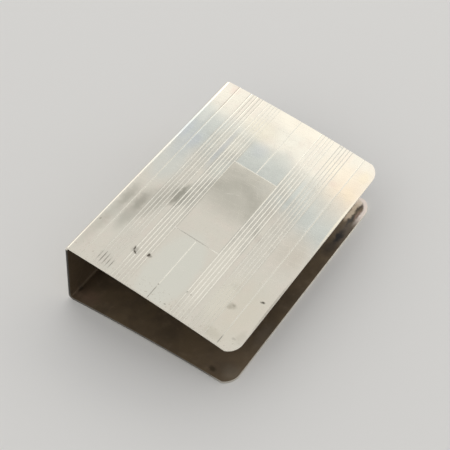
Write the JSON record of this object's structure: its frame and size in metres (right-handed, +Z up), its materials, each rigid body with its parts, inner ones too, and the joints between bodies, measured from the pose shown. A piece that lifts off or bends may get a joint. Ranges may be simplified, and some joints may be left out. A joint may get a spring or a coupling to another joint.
{
  "type": "matchbox holder",
  "caption": "Spring-clip matchbox holder folded from one thin silver sheet: a spine and two bowed covers, the front one engraved with lines.",
  "frame": {"origin": "centre of the bounding box on the surface that the holder lies on", "axes": "+X from the spine towards the open mouth, +Y along the spine, +Z up from the back cover to the front cover"},
  "size_m": [0.0388, 0.054, 0.0168],
  "materials": {
    "silver_front": "satin",
    "silver_fold": "satin",
    "silver_back": "satin"
  },
  "bodies": {
    "back_cover": {"back_cover": "silver_back"},
    "spine": {"lower_fold": "silver_fold", "spine": "silver_fold", "upper_fold": "silver_fold"},
    "front_cover": {"front_cover": "silver_front"}
  },
  "joints": [
    {"name": "lower_fold_flex", "type": "hinge", "parent": "back_cover", "child": "spine", "pos_m": [-0.01839, 0, 0.001], "axis": [0, -1, 0], "range_deg": [-3, 6], "stiffness_Nm_per_rad": 2.1, "deforming": ["lower_fold"]},
    {"name": "upper_fold_flex", "type": "hinge", "parent": "spine", "child": "front_cover", "pos_m": [-0.0172, 0, 0.01575], "axis": [0, -1, 0], "range_deg": [-3, 6], "stiffness_Nm_per_rad": 2.1, "deforming": ["upper_fold"]}
  ]
}
